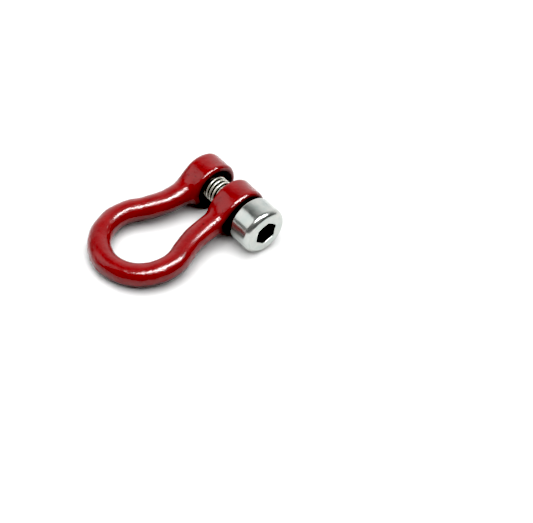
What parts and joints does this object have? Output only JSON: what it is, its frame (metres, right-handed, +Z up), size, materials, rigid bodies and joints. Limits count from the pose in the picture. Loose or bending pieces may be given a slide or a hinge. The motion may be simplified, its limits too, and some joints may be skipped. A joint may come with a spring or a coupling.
{
  "type": "bow shackle",
  "caption": "Small bow shackle: a round-section bow with two thick round ears, closed by a hex-socket cap screw that threads into the far ear.",
  "frame": {"origin": "on the screw's axis, midway between the two ears", "axes": "+X along the screw towards its head, -Y towards the bow's crown, +Z up as the shackle lies on its side. The bow leans 5.7 degrees below the XY plane, so that ears and crown rest on one level floor at z -2.85 mm"},
  "size_m": [0.0136, 0.0196, 0.0056],
  "materials": {
    "red_paint": "glossy deep red enamel over a rough casting",
    "zinc_plate": "bright zinc plating, smooth, with fine turning marks"
  },
  "bodies": {
    "bow": {"bow": "red_paint"},
    "screw_shank": {"screw_shank": "zinc_plate"},
    "screw_head": {"screw_head": "zinc_plate"}
  },
  "joints": [
    {"name": "screw_travel", "type": "slide", "parent": "bow", "child": "screw_shank", "axis": [1, 0, 0], "range_m": [-0.00034, 0.00775]},
    {"name": "screw_turn", "type": "hinge", "parent": "screw_shank", "child": "screw_head", "pos_m": [0, 0, 0], "axis": [1, 0, 0], "range_deg": [-250, 5585]}
  ],
  "couplings": [
    {"joint": "screw_turn", "follows": "screw_travel", "rad_per_m": 12566}
  ]
}
